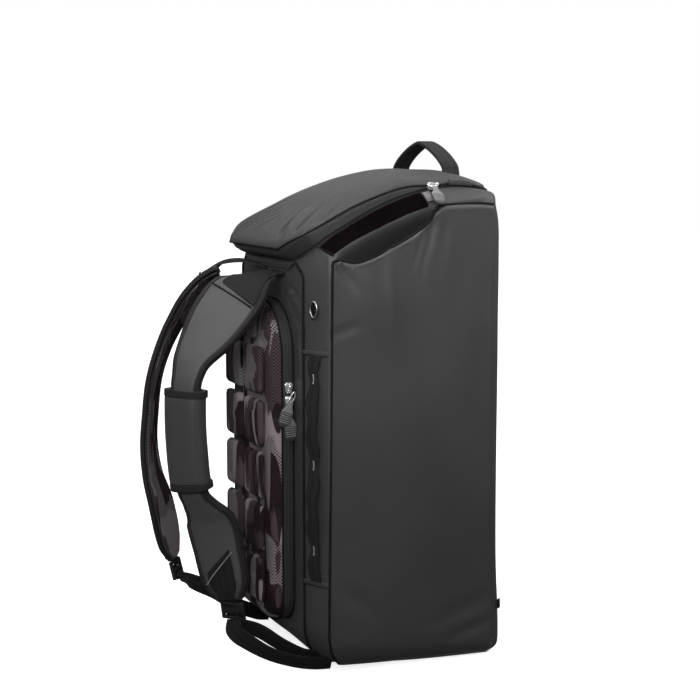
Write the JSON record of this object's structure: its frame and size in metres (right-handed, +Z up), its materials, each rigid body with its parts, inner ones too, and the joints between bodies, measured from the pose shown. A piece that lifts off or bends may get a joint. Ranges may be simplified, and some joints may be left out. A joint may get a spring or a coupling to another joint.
{
  "type": "sports travel bag",
  "caption": "Soft duffel backpack that stands on its end, with a zipped lid, side sleeves for bats, a padded back pocket, padded shoulder straps and a webbing top handle.",
  "frame": {"origin": "on the flat rest face of the base, under the middle of the body", "axes": "+Z up, -Y towards the strap face, +X towards the side panel with the tag"},
  "size_m": [0.3386, 0.4521, 0.703],
  "materials": {
    "coated_fabric": "smooth charcoal coated polyester with a soft sheen",
    "lid_fabric": "the same coated polyester, lighter where it faces up",
    "strap_pad": "foam-padded grey fabric with a dark bound edge",
    "camo_mesh": "moulded air mesh with a muted maroon and grey camouflage print",
    "webbing": "black ribbed polyester webbing",
    "grip_fabric": "smooth dark coated cuff",
    "zip_tape": "black woven zip tape",
    "loop_tape": "black napped loop tape",
    "slider_metal": "bright nickel plate",
    "pull_rubber": "grey moulded rubber",
    "buckle_plastic": "black moulded plastic"
  },
  "bodies": {
    "root": {"main_shell": "coated_fabric", "side_panel_right": "coated_fabric", "side_panel_left": "coated_fabric", "loop_strip_right": "loop_tape", "loop_strip_left": "loop_tape", "sleeve_tag": "webbing", "lid_zip": "zip_tape", "top_lid": "lid_fabric", "top_handle": "webbing", "lid_slider_right": "slider_metal", "lid_slider_left": "slider_metal", "lid_pull_right": "pull_rubber", "lid_pull_left": "pull_rubber", "pocket_zip": "zip_tape", "back_pocket": "camo_mesh", "pocket_slider_upper": "slider_metal", "pocket_slider_lower": "slider_metal", "pocket_pull_upper": "pull_rubber", "pocket_pull_lower": "pull_rubber", "back_pad_right_1": "camo_mesh", "back_pad_right_2": "camo_mesh", "back_pad_right_3": "camo_mesh", "back_pad_right_4": "camo_mesh", "back_pad_right_5": "camo_mesh", "back_pad_right_top": "camo_mesh", "back_pad_left_1": "camo_mesh", "back_pad_left_2": "camo_mesh", "back_pad_left_3": "camo_mesh", "back_pad_left_4": "camo_mesh", "back_pad_left_5": "camo_mesh", "back_pad_left_top": "camo_mesh", "strap_anchor_right": "webbing", "strap_anchor_left": "webbing", "shoulder_strap_right": "strap_pad", "shoulder_strap_left": "strap_pad", "lower_webbing_right": "webbing", "lower_webbing_left": "webbing", "ladder_lock_right": "buckle_plastic", "ladder_lock_left": "buckle_plastic", "grip_wrap": "grip_fabric", "webbing_tail": "webbing", "edge_tab": "webbing", "daisy_chain_right": "webbing", "daisy_chain_left": "webbing", "gusset_ring_right": "slider_metal", "gusset_ring_left": "slider_metal"}
  },
  "joints": []
}
